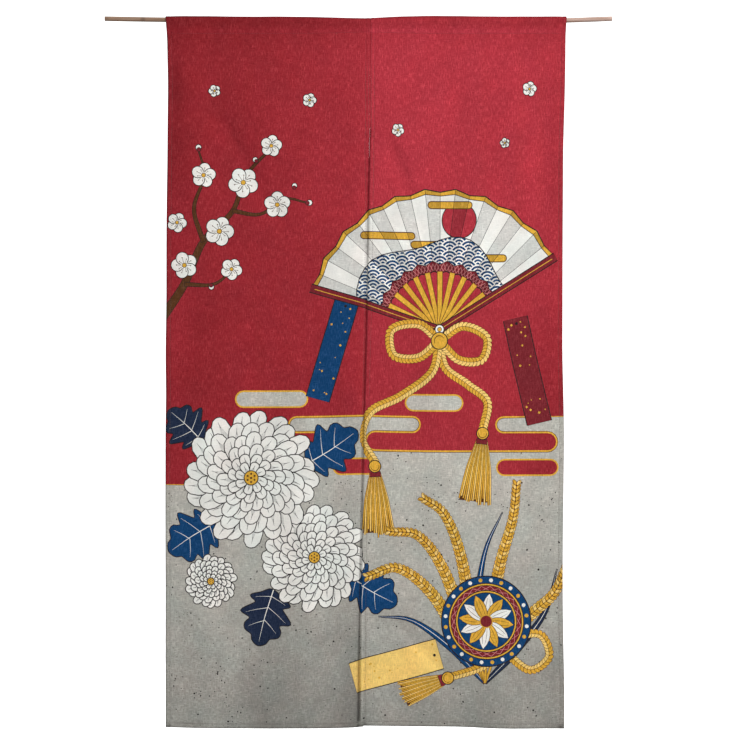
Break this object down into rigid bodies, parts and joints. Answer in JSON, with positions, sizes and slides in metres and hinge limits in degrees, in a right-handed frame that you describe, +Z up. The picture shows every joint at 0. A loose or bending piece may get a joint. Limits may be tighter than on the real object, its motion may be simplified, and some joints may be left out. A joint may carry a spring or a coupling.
{
  "type": "noren curtain on a hanging rod",
  "caption": "Split doorway curtain of printed cloth hanging from a thin wooden rod that runs through its top pockets.",
  "frame": {"origin": "midway between the centres of the rod's two end faces, where the loaded rod would run if it were straight", "axes": "+X along the rod, to the right as seen from the printed face; -Y out of the printed face; +Z up"},
  "size_m": [1.07, 0.0161, 1.5032],
  "materials": {
    "printed_cloth": "matte slub weave with a dyed print",
    "pale_wood": "bare, sanded"
  },
  "bodies": {
    "root": {"panel_left": "printed_cloth", "panel_right": "printed_cloth", "rod": "pale_wood"}
  },
  "joints": []
}
